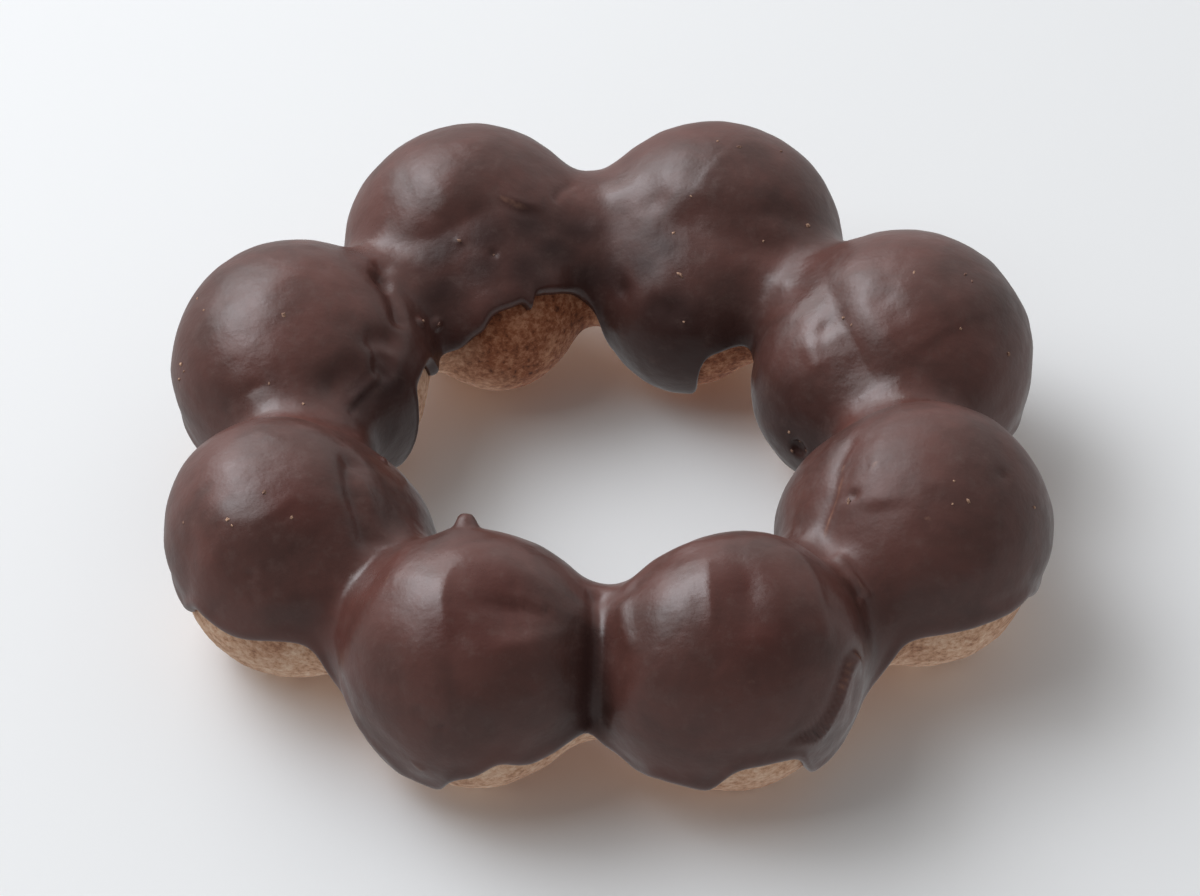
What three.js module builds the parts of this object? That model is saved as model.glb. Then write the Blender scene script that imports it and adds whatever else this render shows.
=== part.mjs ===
// A chocolate ring doughnut. Eight balls of sweet dough are pressed together into one ring and
// fried, which leaves each ball with a round crown, a softer shoulder towards the hole and a flat
// foot. The ring is then dipped in dark chocolate, which sets as one coat over the top and down
// both sides and leaves the underside bare.
//
// Millimetres, +Z up. The ring's axis is Z and its feet rest on Z = 0. A place on the ring is
// given by two angles in degrees: the turn round the axis, from +X towards +Y, and the slant
// round the dough's own section, from 0 outwards, over 90 at the top, to 180 towards the hole.

import { Group, Mesh, MeshStandardMaterial, Vector3 } from 'three';
import { ParametricGeometry } from 'three/addons/geometries/ParametricGeometry.js';

// The eight balls, anticlockwise from the back left. Each has its turn, how far its middle is
// from the ring's axis, its half-depth, its half-widths before and after its turn, its rise and
// drop, the height of its middle, and the same sizes of its shoulder.
const BALLS = [
  {
    turn: 114.7, reach: 32.0, deep: 11.0, before: 12.0, after: 11.4, rise: 11.3, drop: 13.2, mid: 11.4,
    shoulder: { reach: 24.0, deep: 8.0, wide: 8.2, rise: 8.4 },
  },
  {
    turn: 70.8, reach: 31.7, deep: 10.8, before: 12.0, after: 11.8, rise: 11.1, drop: 13.1, mid: 11.4,
    shoulder: { reach: 24.0, deep: 8.0, wide: 8.2, rise: 8.2 },
  },
  {
    turn: 25.6, reach: 31.4, deep: 11.2, before: 12.4, after: 12.1, rise: 10.9, drop: 13.1, mid: 11.3,
    shoulder: { reach: 24.2, deep: 8.2, wide: 8.4, rise: 8.8 },
  },
  {
    turn: -21.4, reach: 31.2, deep: 11.4, before: 12.2, after: 11.9, rise: 12.1, drop: 13.3, mid: 11.3,
    shoulder: { reach: 25.2, deep: 8.0, wide: 8.2, rise: 8.2 },
  },
  {
    turn: -67.0, reach: 30.4, deep: 10.5, before: 12.9, after: 11.3, rise: 12.3, drop: 13.5, mid: 11.4,
    shoulder: { reach: 24.6, deep: 8.0, wide: 8.0, rise: 7.8 },
  },
  {
    turn: -112.8, reach: 29.8, deep: 11.2, before: 12.0, after: 11.5, rise: 11.3, drop: 13.4, mid: 11.4,
    shoulder: { reach: 24.6, deep: 8.0, wide: 8.0, rise: 7.8 },
  },
  {
    turn: -155.2, reach: 31.9, deep: 10.7, before: 12.6, after: 11.5, rise: 11.8, drop: 13.2, mid: 11.3,
    shoulder: { reach: 25.6, deep: 7.6, wide: 8.0, rise: 7.8 },
  },
  {
    turn: 156.0, reach: 32.0, deep: 10.9, before: 11.6, after: 12.5, rise: 10.3, drop: 13.0, mid: 11.2,
    shoulder: { reach: 25.8, deep: 7.6, wide: 8.4, rise: 8.2 },
  },
];
const SHOULDER_DROP = 9.0;
const SHOULDER_MID = 9.4;

// The necks between the balls, in the order of their turns.
const NECKS = [
  { turn: -134.0, reach: 28.0, mid: 9.5, deep: 7.4, rise: 6.6, drop: 8.0 },
  { turn: -91.0, reach: 27.2, mid: 11.0, deep: 6.2, rise: 6.4, drop: 9.0 },
  { turn: -44.0, reach: 28.0, mid: 9.5, deep: 7.4, rise: 6.6, drop: 8.0 },
  { turn: 2.0, reach: 27.6, mid: 10.5, deep: 6.4, rise: 6.0, drop: 7.0 },
  { turn: 48.0, reach: 28.0, mid: 11.0, deep: 6.6, rise: 6.2, drop: 7.0 },
  { turn: 92.5, reach: 28.2, mid: 11.0, deep: 7.2, rise: 7.2, drop: 7.2 },
  { turn: 136.0, reach: 28.0, mid: 11.0, deep: 6.4, rise: 6.2, drop: 7.0 },
  { turn: 180.0, reach: 27.8, mid: 10.5, deep: 6.4, rise: 5.8, drop: 7.0 },
];

// How softly a crown runs into its shoulder, and the balls and necks into one another.
const SHOULDER_BLEND = 1.3;
const CREASE_BLEND = 1.0;

// The circle through the middle of the dough, from which its section is measured.
const CORE_REACH = 27;
const CORE_HEIGHT = 11;

// The box of the ring is centred on the origin by this much in X and Y.
const CENTRED = [0.005, -0.97];

// The coat: its depth on the crowns and low on the sides, the slants between which it thins, the
// room left between it and the dough, and the round bead along its edges.
const COAT_DEPTH = 1.3;
const COAT_LOW_DEPTH = 0.9;
const COAT_THINS = { from: 20, to: -30 };
const COAT_GAP = 0.36;
const EDGE_ROUND = 1.1;
const EDGE_BEAD = { height: 0.3, from_edge: 1.4, spread: 0.9 };

// Grooves pressed into the dough where a crown meets its shoulder: the line that each follows as
// pairs of turn and slant, its depth and its half-width. The last is the pinch between the two
// front balls.
const GROOVES = [
  { line: [[36, 108], [24.5, 115], [17, 115], [11, 112], [6, 105], [1, 91]], depth: 1.1, spread: 2.0 },
  { line: [[79, 104], [75, 111], [68, 110], [60, 108], [48, 90]], depth: 0.7, spread: 2.0 },
  { line: [[135, 74], [128, 84], [122, 92], [112, 95]], depth: 0.7, spread: 1.9 },
  { line: [[-157, 102], [-149, 98], [-143, 98], [-136, 76]], depth: 0.8, spread: 2.3 },
  { line: [[-22, 108], [-32, 106], [-40, 99], [-47, 85]], depth: 0.6, spread: 1.9 },
  { line: [[-91, -20], [-91, 20], [-91, 60], [-91, 100]], depth: 0.7, spread: 1.9 },
];

// Raised chocolate: a small pulled tip, and the thick folds where the dip ran together.
const SWELLS = [
  { line: [[-121.2, 109]], depth: -1.2, spread: 1.0 },
  { line: [[-63.5, 2], [-60, 9], [-56, 17]], depth: -0.7, spread: 1.5 },
  { line: [[-17, 102], [-23, 108], [-32, 106]], depth: -0.5, spread: 1.0 },
];

// The coat's lower edge on the outside. It rests at one slant and wanders a little to each side of
// it. At each turn named it ends higher or lower by lift degrees, over a half-width of spread
// degrees, and the larger steep is, the flatter such a run is and the steeper are its ends.
const OUTER_EDGE = {
  rest: -36,
  wander: 3,
  runs: [
    { turn: -143.5, spread: 9.5, steep: 3, lift: 29 },
    { turn: -101.5, spread: 10.5, steep: 6, lift: 18 },
    { turn: -80.5, spread: 4, steep: 4, lift: 9 },
    { turn: -69.5, spread: 6.5, steep: 4, lift: 21 },
    { turn: -35, spread: 11, steep: 4, lift: 30 },
    { turn: 12, spread: 6, steep: 2, lift: 10 },
    { turn: 62, spread: 8, steep: 2, lift: 14 },
    { turn: 121, spread: 7, steep: 2, lift: 17 },
    { turn: 166, spread: 7, steep: 2, lift: 9 },
  ],
};

// The same edge on the side of the hole, where a run of less slant leaves a bare patch of dough.
const INNER_EDGE = {
  rest: 226,
  wander: 3,
  runs: [
    { turn: 145.5, spread: 9.5, steep: 2.5, lift: -60 },
    { turn: 113, spread: 21, steep: 6, lift: -68 },
    { turn: 57.5, spread: 9, steep: 2, lift: -42 },
    { turn: 74, spread: 4, steep: 2, lift: 6 },
    { turn: -40, spread: 8, steep: 2, lift: -12 },
    { turn: -130, spread: 9, steep: 2, lift: -10 },
  ],
};
const WANDER_WAVES = [[5, 0.4], [11, 2.1], [17, 4.0]];

// Faces round the ring, round the dough's section, and over and under the coat. The rows of the
// top skin crowd towards its edges, and only the rows near an edge follow its waves.
const COLUMNS = 120;
const DOUGH_ROWS = 22;
const COAT_ROWS_OVER = 19;
const COAT_ROWS_UNDER = 15;
const CROWD = 0.6;
const FOLLOW = 2.5;

const FULL_TURN = Math.PI * 2;
const radians = (degrees) => (degrees * Math.PI) / 180;
const bell = (distance, spread) => Math.exp(-((distance / spread) ** 2));

// How far a point is outside an oval, and negative inside, from its offsets and half-sizes.
function outsideOval(offsets, halves) {
  const size = Math.hypot(...offsets.map((offset, axis) => offset / halves[axis]));
  const slope = Math.hypot(...offsets.map((offset, axis) => offset / halves[axis] ** 2));
  return (size * (size - 1)) / Math.max(slope, 1e-9);
}

// The least of several depths, with the creases between them filled softly.
function runTogether(depths, blend) {
  const nearest = Math.min(...depths);
  const crowd = depths.reduce((sum, depth) => sum + Math.exp((nearest - depth) / blend), 0);
  return nearest - blend * Math.log(crowd);
}

// One round lump of dough: an ellipsoid with its own half-width to each side, rise and drop.
class Lump {
  constructor(turn, sizes) {
    this.cos = Math.cos(radians(turn));
    this.sin = Math.sin(radians(turn));
    Object.assign(this, sizes);
  }

  outside({ x, y, z }) {
    const out = x * this.cos + y * this.sin - this.reach;
    const along = y * this.cos - x * this.sin;
    const up = z - this.mid;
    const wide = along > 0 ? this.after : this.before;
    return outsideOval([out, along, up], [this.deep, wide, up > 0 ? this.rise : this.drop]);
  }
}

const pairs = BALLS.map((ball) => {
  const { reach, deep, wide, rise } = ball.shoulder;
  const sizes = { reach, deep, before: wide, after: wide, rise, drop: SHOULDER_DROP, mid: SHOULDER_MID };
  return [new Lump(ball.turn, ball), new Lump(ball.turn, sizes)];
});

// The neck's sizes at a turn in degrees, which change evenly from one neck to the next.
function neckAt(turn) {
  const after = NECKS.findIndex((neck) => neck.turn > turn);
  const last = NECKS[NECKS.length - 1];
  const next = after < 0 ? { ...NECKS[0], turn: NECKS[0].turn + 360 } : NECKS[after];
  const before = after > 0 ? NECKS[after - 1] : after < 0 ? last : { ...last, turn: last.turn - 360 };
  const share = (turn - before.turn) / (next.turn - before.turn);
  const between = (size) => before[size] + (next[size] - before[size]) * share;
  return Object.fromEntries(['reach', 'mid', 'deep', 'rise', 'drop'].map((size) => [size, between(size)]));
}

function outsideNeck(point) {
  const neck = neckAt((Math.atan2(point.y, point.x) * 180) / Math.PI);
  const up = point.z - neck.mid;
  const offsets = [Math.hypot(point.x, point.y) - neck.reach, up];
  return outsideOval(offsets, [neck.deep, up > 0 ? neck.rise : neck.drop]);
}

// All balls and the necks that join them, run together with soft creases.
function outsideRing(point) {
  const balls = pairs.map((pair) => runTogether(pair.map((lump) => lump.outside(point)), SHOULDER_BLEND));
  return runTogether([...balls, outsideNeck(point)], CREASE_BLEND);
}

// The point at a turn and slant, a given way out from the core circle.
function fromCore(turn, slant, away, target) {
  const reach = CORE_REACH + away * Math.cos(slant);
  return target.set(reach * Math.cos(turn), reach * Math.sin(turn), CORE_HEIGHT + away * Math.sin(slant));
}

// How far the smooth ring reaches from the core circle, a given depth under its outer skin. The
// search starts clear of the ring and steps inwards.
const SEARCH_FROM = 24;
const SEARCH_STEPS = 24;
const SEARCH_PACE = 0.93;
const CLEAR_OF_AXIS = 2;
const probe = new Vector3();

function smoothReach(turn, slant, depth) {
  const inwards = -Math.cos(slant);
  let away = SEARCH_FROM;
  if (inwards > 0) away = Math.min(away, (CORE_REACH - CLEAR_OF_AXIS) / inwards);
  for (let step = 0; step < SEARCH_STEPS; step++) {
    away -= SEARCH_PACE * (outsideRing(fromCore(turn, slant, away, probe)) + depth);
  }
  return away;
}

// A groove's or swell's line, laid on the smooth ring.
const layLine = (line) =>
  line.map(([turn, slant]) => {
    const at = [radians(turn), radians(slant)];
    return fromCore(...at, smoothReach(...at, 0), new Vector3());
  });
const laid = (reliefs) => reliefs.map((relief) => ({ ...relief, points: layLine(relief.line) }));
const grooves = laid(GROOVES);
const swells = laid(SWELLS);

// The distance from a point to the nearest stretch of a laid line.
const stretch = new Vector3();
const offset = new Vector3();

function distanceToLine(point, points) {
  let nearest = point.distanceTo(points[0]);
  for (let next = 1; next < points.length; next++) {
    stretch.subVectors(points[next], points[next - 1]);
    offset.subVectors(point, points[next - 1]);
    const share = Math.min(1, Math.max(0, offset.dot(stretch) / stretch.lengthSq()));
    nearest = Math.min(nearest, offset.addScaledVector(stretch, -share).length());
  }
  return nearest;
}

const reliefDepth = (point, reliefs) =>
  reliefs.reduce(
    (sum, { points, depth, spread }) => sum + depth * bell(distanceToLine(point, points), spread),
    0,
  );

// A point of the ring at a turn and slant, a given depth under the outer skin and raised by a
// given height. Grooves show at every depth. The feet are pressed flat on Z = 0.
const skinAt = new Vector3();

function ringPoint(turn, slant, depth, raised, target) {
  fromCore(turn, slant, smoothReach(turn, slant, 0), skinAt);
  const groove = reliefDepth(skinAt, grooves);
  const lift = raised > 0 ? raised - reliefDepth(skinAt, swells) : 0;
  fromCore(turn, slant, smoothReach(turn, slant, depth) - groove + lift, target);
  target.z = Math.max(target.z, 0);
  return target;
}

// How deep the dough lies under the outer skin: the coat thins down the sides.
function coatDepth(slant) {
  const degrees = (Math.asin(Math.sin(slant)) * 180) / Math.PI;
  const share = (degrees - COAT_THINS.to) / (COAT_THINS.from - COAT_THINS.to);
  const eased = Math.min(1, Math.max(0, share));
  return COAT_LOW_DEPTH + (COAT_DEPTH - COAT_LOW_DEPTH) * eased;
}

// The slant at which the coat ends, at one turn.
function edgeSlant(turn, { rest, wander, runs }) {
  const waves = WANDER_WAVES.reduce((sum, [count, start]) => sum + Math.sin(count * turn + start), 0);
  const lifts = runs.reduce((sum, run) => {
    const around = Math.atan2(Math.sin(turn - radians(run.turn)), Math.cos(turn - radians(run.turn)));
    return sum + run.lift * Math.exp(-(Math.abs(around / radians(run.spread)) ** run.steep));
  }, 0);
  return radians(rest + (wander * waves) / WANDER_WAVES.length + lifts);
}

// Columns are laid evenly along the skin, so more of them fall where the ring pinches in.
const PACE_STEPS = 720;
const PACE_SLANTS = [0, 45, 90, 135].map(radians);

function evenTurns() {
  const walked = [0];
  const last = PACE_SLANTS.map(() => new Vector3());
  const here = new Vector3();
  for (let step = 0; step <= PACE_STEPS; step++) {
    const turn = (FULL_TURN * step) / PACE_STEPS;
    let length = 0;
    PACE_SLANTS.forEach((slant, index) => {
      fromCore(turn, slant, smoothReach(turn, slant, 0), here);
      if (step > 0) length += here.distanceTo(last[index]);
      last[index].copy(here);
    });
    if (step > 0) walked.push(walked[step - 1] + length);
  }
  return (share) => {
    const goal = share * walked[PACE_STEPS];
    let step = walked.findIndex((length) => length >= goal);
    if (step < 1) step = 1;
    const part = (goal - walked[step - 1]) / (walked[step] - walked[step - 1]);
    return (FULL_TURN * (step - 1 + part)) / PACE_STEPS;
  };
}
const turnAt = evenTurns();

// The bare ring of dough.
function doughGeometry() {
  const point = (around, over, target) => {
    const turn = turnAt(around);
    const slant = FULL_TURN * over;
    return ringPoint(turn, slant, coatDepth(slant), 0, target);
  };
  return new ParametricGeometry(point, COLUMNS, DOUGH_ROWS);
}

// The slant of one row of the coat, a share of the way from the outer edge to the inner one.
function coatSlant(share, from, to) {
  const outerRest = radians(OUTER_EDGE.rest);
  const innerRest = radians(INNER_EDGE.rest);
  const resting = outerRest + (innerRest - outerRest) * share;
  return resting + (from - outerRest) * (1 - share) ** FOLLOW + (to - innerRest) * share ** FOLLOW;
}

// The coat: out over the top from the outer edge to the inner edge, and back underneath. At both
// edges the top skin curls down in a quarter round, behind a raised bead, to meet the underside.
function coatGeometry() {
  const rows = COAT_ROWS_OVER + COAT_ROWS_UNDER;
  const turnover = COAT_ROWS_OVER / rows;
  const point = (around, loop, target) => {
    const turn = turnAt(around);
    const from = edgeSlant(turn, OUTER_EDGE);
    const to = edgeSlant(turn, INNER_EDGE);
    const over = loop <= turnover;
    const even = over ? loop / turnover : (1 - loop) / (1 - turnover);
    const share = over ? even - (CROWD * Math.sin(FULL_TURN * even)) / FULL_TURN : even;
    const slant = coatSlant(share, from, to);
    const underside = coatDepth(slant) - COAT_GAP;
    if (!over) return ringPoint(turn, slant, underside, 0, target);
    const away = smoothReach(turn, slant, 0);
    const toEdge = Math.min(slant - from, to - slant) * away;
    const curl = 1 - Math.min(1, Math.max(0, toEdge) / EDGE_ROUND);
    const round = Math.sqrt(1 - curl ** 2);
    const bead = EDGE_BEAD.height * bell(toEdge - EDGE_BEAD.from_edge, EDGE_BEAD.spread);
    return ringPoint(turn, slant, underside * (1 - round), bead * round, target);
  };
  return new ParametricGeometry(point, COLUMNS, rows);
}

const doughFinish = new MeshStandardMaterial({ color: '#9a6238', roughness: 0.85, metalness: 0 });
const chocolateFinish = new MeshStandardMaterial({ color: '#4b322d', roughness: 0.4, metalness: 0 });

const dough = new Mesh(doughGeometry(), doughFinish);
dough.name = 'dough';

const coat = new Mesh(coatGeometry(), chocolateFinish);
coat.name = 'chocolate_coat';

const doughnut = new Group();
doughnut.add(dough, coat);
doughnut.position.set(...CENTRED, 0);

export default doughnut;
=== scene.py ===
import math

import bmesh
import bpy
import numpy as np
from mathutils import Matrix, Vector, noise


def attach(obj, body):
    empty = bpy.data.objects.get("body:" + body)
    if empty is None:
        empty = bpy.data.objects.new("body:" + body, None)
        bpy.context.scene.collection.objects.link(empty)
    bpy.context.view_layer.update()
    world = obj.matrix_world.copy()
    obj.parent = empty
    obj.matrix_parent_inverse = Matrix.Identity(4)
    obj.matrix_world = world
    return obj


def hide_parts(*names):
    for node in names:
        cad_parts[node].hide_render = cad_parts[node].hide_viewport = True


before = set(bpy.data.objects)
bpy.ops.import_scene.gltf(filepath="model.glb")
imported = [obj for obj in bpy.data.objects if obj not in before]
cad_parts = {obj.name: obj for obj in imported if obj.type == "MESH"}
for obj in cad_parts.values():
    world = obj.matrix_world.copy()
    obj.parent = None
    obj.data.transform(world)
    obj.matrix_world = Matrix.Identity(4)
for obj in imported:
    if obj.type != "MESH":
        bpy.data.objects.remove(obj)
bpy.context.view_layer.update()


# ---- The ring of dough ----
# Eight balls of sweet dough, pressed together into one ring and fried golden brown. Each ball has
# a round crown, a softer shoulder towards the hole and a flat foot. A place on the ring is its
# turn round the axis and its slant round the section: 0 outwards, 90 on top, 180 to the hole.

MM = 0.001
FULL_TURN = 2 * math.pi

# Each ball's turn and reach, its half-depth, its half-widths before and after it, its rise, drop and
# mid-height, then its shoulder's reach, half-depth, half-width and rise.
BALLS = [
    (114.7, 32.0, 11.0, 12.0, 11.4, 11.3, 13.2, 11.4, 24.0, 8.0, 8.2, 8.4),
    (70.8, 31.7, 10.8, 12.0, 11.8, 11.1, 13.1, 11.4, 24.0, 8.0, 8.2, 8.2),
    (25.6, 31.4, 11.2, 12.4, 12.1, 10.9, 13.1, 11.3, 24.2, 8.2, 8.4, 8.8),
    (-21.4, 31.2, 11.4, 12.2, 11.9, 12.1, 13.3, 11.3, 25.2, 8.0, 8.2, 8.2),
    (-67.0, 30.4, 10.5, 12.9, 11.3, 12.3, 13.5, 11.4, 24.6, 8.0, 8.0, 7.8),
    (-112.8, 29.8, 11.2, 12.0, 11.5, 11.3, 13.4, 11.4, 24.6, 8.0, 8.0, 7.8),
    (-155.2, 31.9, 10.7, 12.6, 11.5, 11.8, 13.2, 11.3, 25.6, 7.6, 8.0, 7.8),
    (156.0, 32.0, 10.9, 11.6, 12.5, 10.3, 13.0, 11.2, 25.8, 7.6, 8.4, 8.2),
]
SHOULDER_DROP, SHOULDER_MID = 9.0, 9.4

# The necks between the balls: turn, reach, mid-height, half-depth, rise and drop.
NECKS = [
    (-134.0, 28.0, 9.5, 7.4, 6.6, 8.0),
    (-91.0, 27.2, 11.0, 6.2, 6.4, 9.0),
    (-44.0, 28.0, 9.5, 7.4, 6.6, 8.0),
    (2.0, 27.6, 10.5, 6.4, 6.0, 7.0),
    (48.0, 28.0, 11.0, 6.6, 6.2, 7.0),
    (92.5, 28.2, 11.0, 7.2, 7.2, 7.2),
    (136.0, 28.0, 11.0, 6.4, 6.2, 7.0),
    (180.0, 27.8, 10.5, 6.4, 5.8, 7.0),
]
SHOULDER_BLEND, CREASE_BLEND = 1.3, 1.0
CORE_REACH, CORE_HEIGHT = 27.0, 11.0
RING_CENTRE = (0.005, -0.97, 0.0)

# Faces round the ring and round its section, the small round at the feet, and the crust's waves
# and grains, each a height and a size.
DOUGH_COLUMNS, DOUGH_ROWS = 560, 168
UNDERSIDE_CROWD = 0.4
FOOT_ROUND = 0.25
CRUST_WAVE, CRUST_WAVE_SIZE = 0.16, 3.2
CRUST_GRAIN, CRUST_GRAIN_SIZE = 0.07, 0.7


def outside_oval(*offsets_and_halves):
    """How far points are outside an oval with these offsets and half-sizes, and negative inside."""
    size = np.sqrt(sum((offset / half) ** 2 for offset, half in offsets_and_halves))
    slope = np.sqrt(sum((offset / half**2) ** 2 for offset, half in offsets_and_halves))
    return size * (size - 1) / np.maximum(slope, 1e-9)


def outside_lump(points, turn, reach, deep, before, after, rise, drop, mid):
    """How far points are outside one round lump of dough."""
    cos, sin = math.cos(math.radians(turn)), math.sin(math.radians(turn))
    x, y, z = points
    along, up = y * cos - x * sin, z - mid
    wide, tall = np.where(along > 0, after, before), np.where(up > 0, rise, drop)
    return outside_oval((x * cos + y * sin - reach, deep), (along, wide), (up, tall))


def outside_ball(points, ball):
    """A crown and its shoulder, run together."""
    turn, (inner, deep, wide, plump) = ball[0], ball[8:]
    crown = outside_lump(points, *ball[:8])
    shoulder = outside_lump(points, turn, inner, deep, wide, wide, plump, SHOULDER_DROP, SHOULDER_MID)
    crowd = np.exp(-crown / SHOULDER_BLEND) + np.exp(-shoulder / SHOULDER_BLEND)
    return -SHOULDER_BLEND * np.log(crowd)


def outside_neck(points, turn):
    """The dough between the balls, whose section changes evenly from one neck to the next."""
    x, y, z = points
    turns, *columns = np.array(NECKS).T
    reach, mid, deep, rise, drop = (np.interp(np.degrees(turn), turns, row, period=360) for row in columns)
    up = z - mid
    return outside_oval((np.hypot(x, y) - reach, deep), (up, np.where(up > 0, rise, drop)))


def balls_near(turn, within=55):
    """For each ball, which of the points lie near enough to it for it to shape them."""
    degrees = np.degrees(turn)
    return [np.nonzero(np.abs((degrees - ball[0] + 180) % 360 - 180) < within)[0] for ball in BALLS]


def outside_ring(points, turn, near):
    """All the balls and the necks that join them, run together with soft creases."""
    crowd = np.exp(-outside_neck(points, turn) / CREASE_BLEND)
    for ball, some in zip(BALLS, near):
        crowd[some] += np.exp(-outside_ball(points[:, some], ball) / CREASE_BLEND)
    return -CREASE_BLEND * np.log(crowd)


def from_core(turn, slant, away):
    """The points at a turn and slant, a given way out from the circle inside the dough."""
    reach = CORE_REACH + away * np.cos(slant)
    return np.array([reach * np.cos(turn), reach * np.sin(turn), CORE_HEIGHT + away * np.sin(slant)])


def smooth_skin(turn, slant, steps=12, start=20.0, slopes=(0.35, 1.4)):
    """Points of the ring's smooth outer skin, found by stepping inwards from clear of it."""
    near = balls_near(turn)
    before = np.full(turn.shape, start)
    gap_before = outside_ring(from_core(turn, slant, before), turn, near)
    away = before - gap_before
    for _ in range(steps):
        gap = outside_ring(from_core(turn, slant, away), turn, near)
        moved = away - before
        still = np.abs(moved) < 1e-9
        slope = np.where(still, 1, (gap - gap_before) / np.where(still, 1, moved))
        before, gap_before = away, gap
        away = away - gap / np.clip(slope, *slopes)
    return from_core(turn, slant, away)


def skin_normals(turn, skin, step=0.01):
    """The way out of the smooth skin, from how fast it is left behind along X, Y and Z."""
    near = balls_near(turn)
    here = outside_ring(skin, turn, near)
    steps = [outside_ring(skin + step * axis[:, None], turn, near) - here for axis in np.eye(3)]
    return np.array(steps) / np.linalg.norm(steps, axis=0)


def even_turns(steps=1440, slants=(0, 45, 90, 135)):
    """Turns laid evenly along the skin, so that more columns fall where the ring pinches in."""
    turns = np.linspace(0, FULL_TURN, steps + 1)
    walked = np.zeros(steps)
    for slant in slants:
        skin = smooth_skin(turns, np.full(steps + 1, math.radians(slant)))
        walked += np.linalg.norm(np.diff(skin, axis=1), axis=0)
    lengths = np.concatenate([[0], np.cumsum(walked)])
    return lengths / lengths[-1], turns


even_share, even_turn = even_turns()


def finished_mesh(bm, name):
    mesh = bpy.data.meshes.new(name)
    bm.to_mesh(mesh)
    bm.free()
    return mesh


def put_in_scene(name, data):
    """An object at the origin for a mesh, a light or a camera."""
    made = bpy.data.objects.new(name, data)
    bpy.context.collection.objects.link(made)
    return made


def ring_mesh(name, columns, rows, cuts=7):
    """A closed ring spun from a circle and cut finer, with each vertex's turn and its row."""
    bm = bmesh.new()
    made = bmesh.ops.create_circle(
        bm, cap_ends=False, radius=1, segments=rows // (cuts + 1),
        matrix=Matrix.Translation((2, 0, 0)) @ Matrix.Rotation(math.pi / 2, 4, "X"),
    )
    edges = list({edge for vert in made["verts"] for edge in vert.link_edges})
    bmesh.ops.spin(
        bm, geom=made["verts"] + edges, cent=(0, 0, 0), axis=(0, 0, 1), dvec=(0, 0, 0),
        angle=FULL_TURN, steps=columns // (cuts + 1), use_merge=True, use_duplicate=False,
    )
    bmesh.ops.remove_doubles(bm, verts=bm.verts, dist=1e-5)
    bmesh.ops.subdivide_edges(bm, edges=bm.edges, cuts=cuts, use_grid_fill=True)
    bmesh.ops.recalc_face_normals(bm, faces=bm.faces)
    mesh = finished_mesh(bm, name)
    x, y, z = read_points(mesh)
    column = np.round(np.arctan2(y, x) / FULL_TURN * columns) % columns
    row = np.round(np.arctan2(z, np.hypot(x, y) - 2) / FULL_TURN * rows) % rows
    return mesh, np.interp(column / columns, even_share, even_turn), row


def read_points(mesh):
    flat = np.empty(len(mesh.vertices) * 3)
    mesh.vertices.foreach_get("co", flat)
    return flat.reshape(-1, 3).T


def write_points(mesh, points):
    mesh.vertices.foreach_set("co", np.ascontiguousarray(points.T).ravel())
    mesh.update()


def waves(points, size, seed):
    """Smooth noise from -1 to 1, with waves of about a given size in millimetres."""
    shift = Vector((seed * 17.3, seed * 5.1, seed * 9.7))
    return np.array([noise.noise(Vector(point) / size + shift) for point in points.T])


def bell(distance, spread):
    return np.exp(-((distance / spread) ** 2))


def eased(value, low, high):
    share = np.clip((value - low) / (high - low), 0, 1)
    return share * share * (3 - 2 * share)


def rounded(line, cuts=2):
    """A line of (turn, slant) pairs with its corners cut, as an array."""
    line = np.array(line, float)
    for _ in range(cuts if len(line) > 2 else 0):
        ahead, behind = line[1:], line[:-1]
        middle = np.stack([behind * 0.75 + ahead * 0.25, behind * 0.25 + ahead * 0.75], axis=1)
        line = np.vstack([line[:1], middle.reshape(-1, 2), line[-1:]])
    return line


def line_distance(points, line):
    """For each point: distance to a line laid on the skin, its side, and its share along it."""
    route = rounded(line)
    laid = smooth_skin(*np.radians(route).T)
    outward = laid - from_core(*np.radians(route).T, np.zeros(len(route)))
    nearest = np.linalg.norm(points - laid[:, :1], axis=0)
    side = np.ones(points.shape[1])
    share = np.full(points.shape[1], 0.5)
    for step in range(len(route) - 1):
        stretch = laid[:, step + 1] - laid[:, step]
        offset = points - laid[:, step : step + 1]
        part = np.clip(stretch @ offset / (stretch @ stretch), 0, 1)
        gap = np.linalg.norm(offset - stretch[:, None] * part, axis=0)
        closer = gap < nearest if step else np.ones_like(gap, bool)
        nearest = np.where(closer, gap, nearest)
        across = np.cross(outward[:, step], stretch) @ offset
        side = np.where(closer, np.sign(across), side)
        share = np.where(closer, (step + part) / (len(route) - 1), share)
    return nearest, side, share


# A mark is a line on the skin, how far it reaches, how far it fades in along its ends, and its
# rise at a distance and a side of the line, in millimetres.


def press(line, depth, spread):
    """A soft groove, or a soft swell if its depth is negative."""
    return line, spread * 3, 0, lambda away, side: -depth * bell(away, spread)


def foot(line, height, steep, dip, gentle):
    """A crown's foot: a sharp furrow, and the crown's steep side standing proud on its left."""
    def rise(away, side):
        furrow = dip * np.maximum(1 - away / gentle, 0) ** 2
        crown = height * (1 - np.maximum(1 - away / steep, 0) ** 2) * bell(away, 3 * steep)
        return np.where(side > 0, crown, 0) - furrow
    return line, steep * 6, 8.0, rise


def slump(line, depth, width, lip=0.25):
    """A sagged patch on the right of its line: it sinks evenly over a width, then slowly ends."""
    def rise(away, side):
        left, right = np.maximum(away * side, 0), np.maximum(-away * side, 0)
        sunk = np.minimum(right / width, 1) * (1 - eased(right, width, width * 2.2))
        return depth * (lip * np.exp(-left / 1.6) * eased(away * side, -0.5, 0.5) - sunk)
    return line, width * 2.2, 8.0, rise


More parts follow.
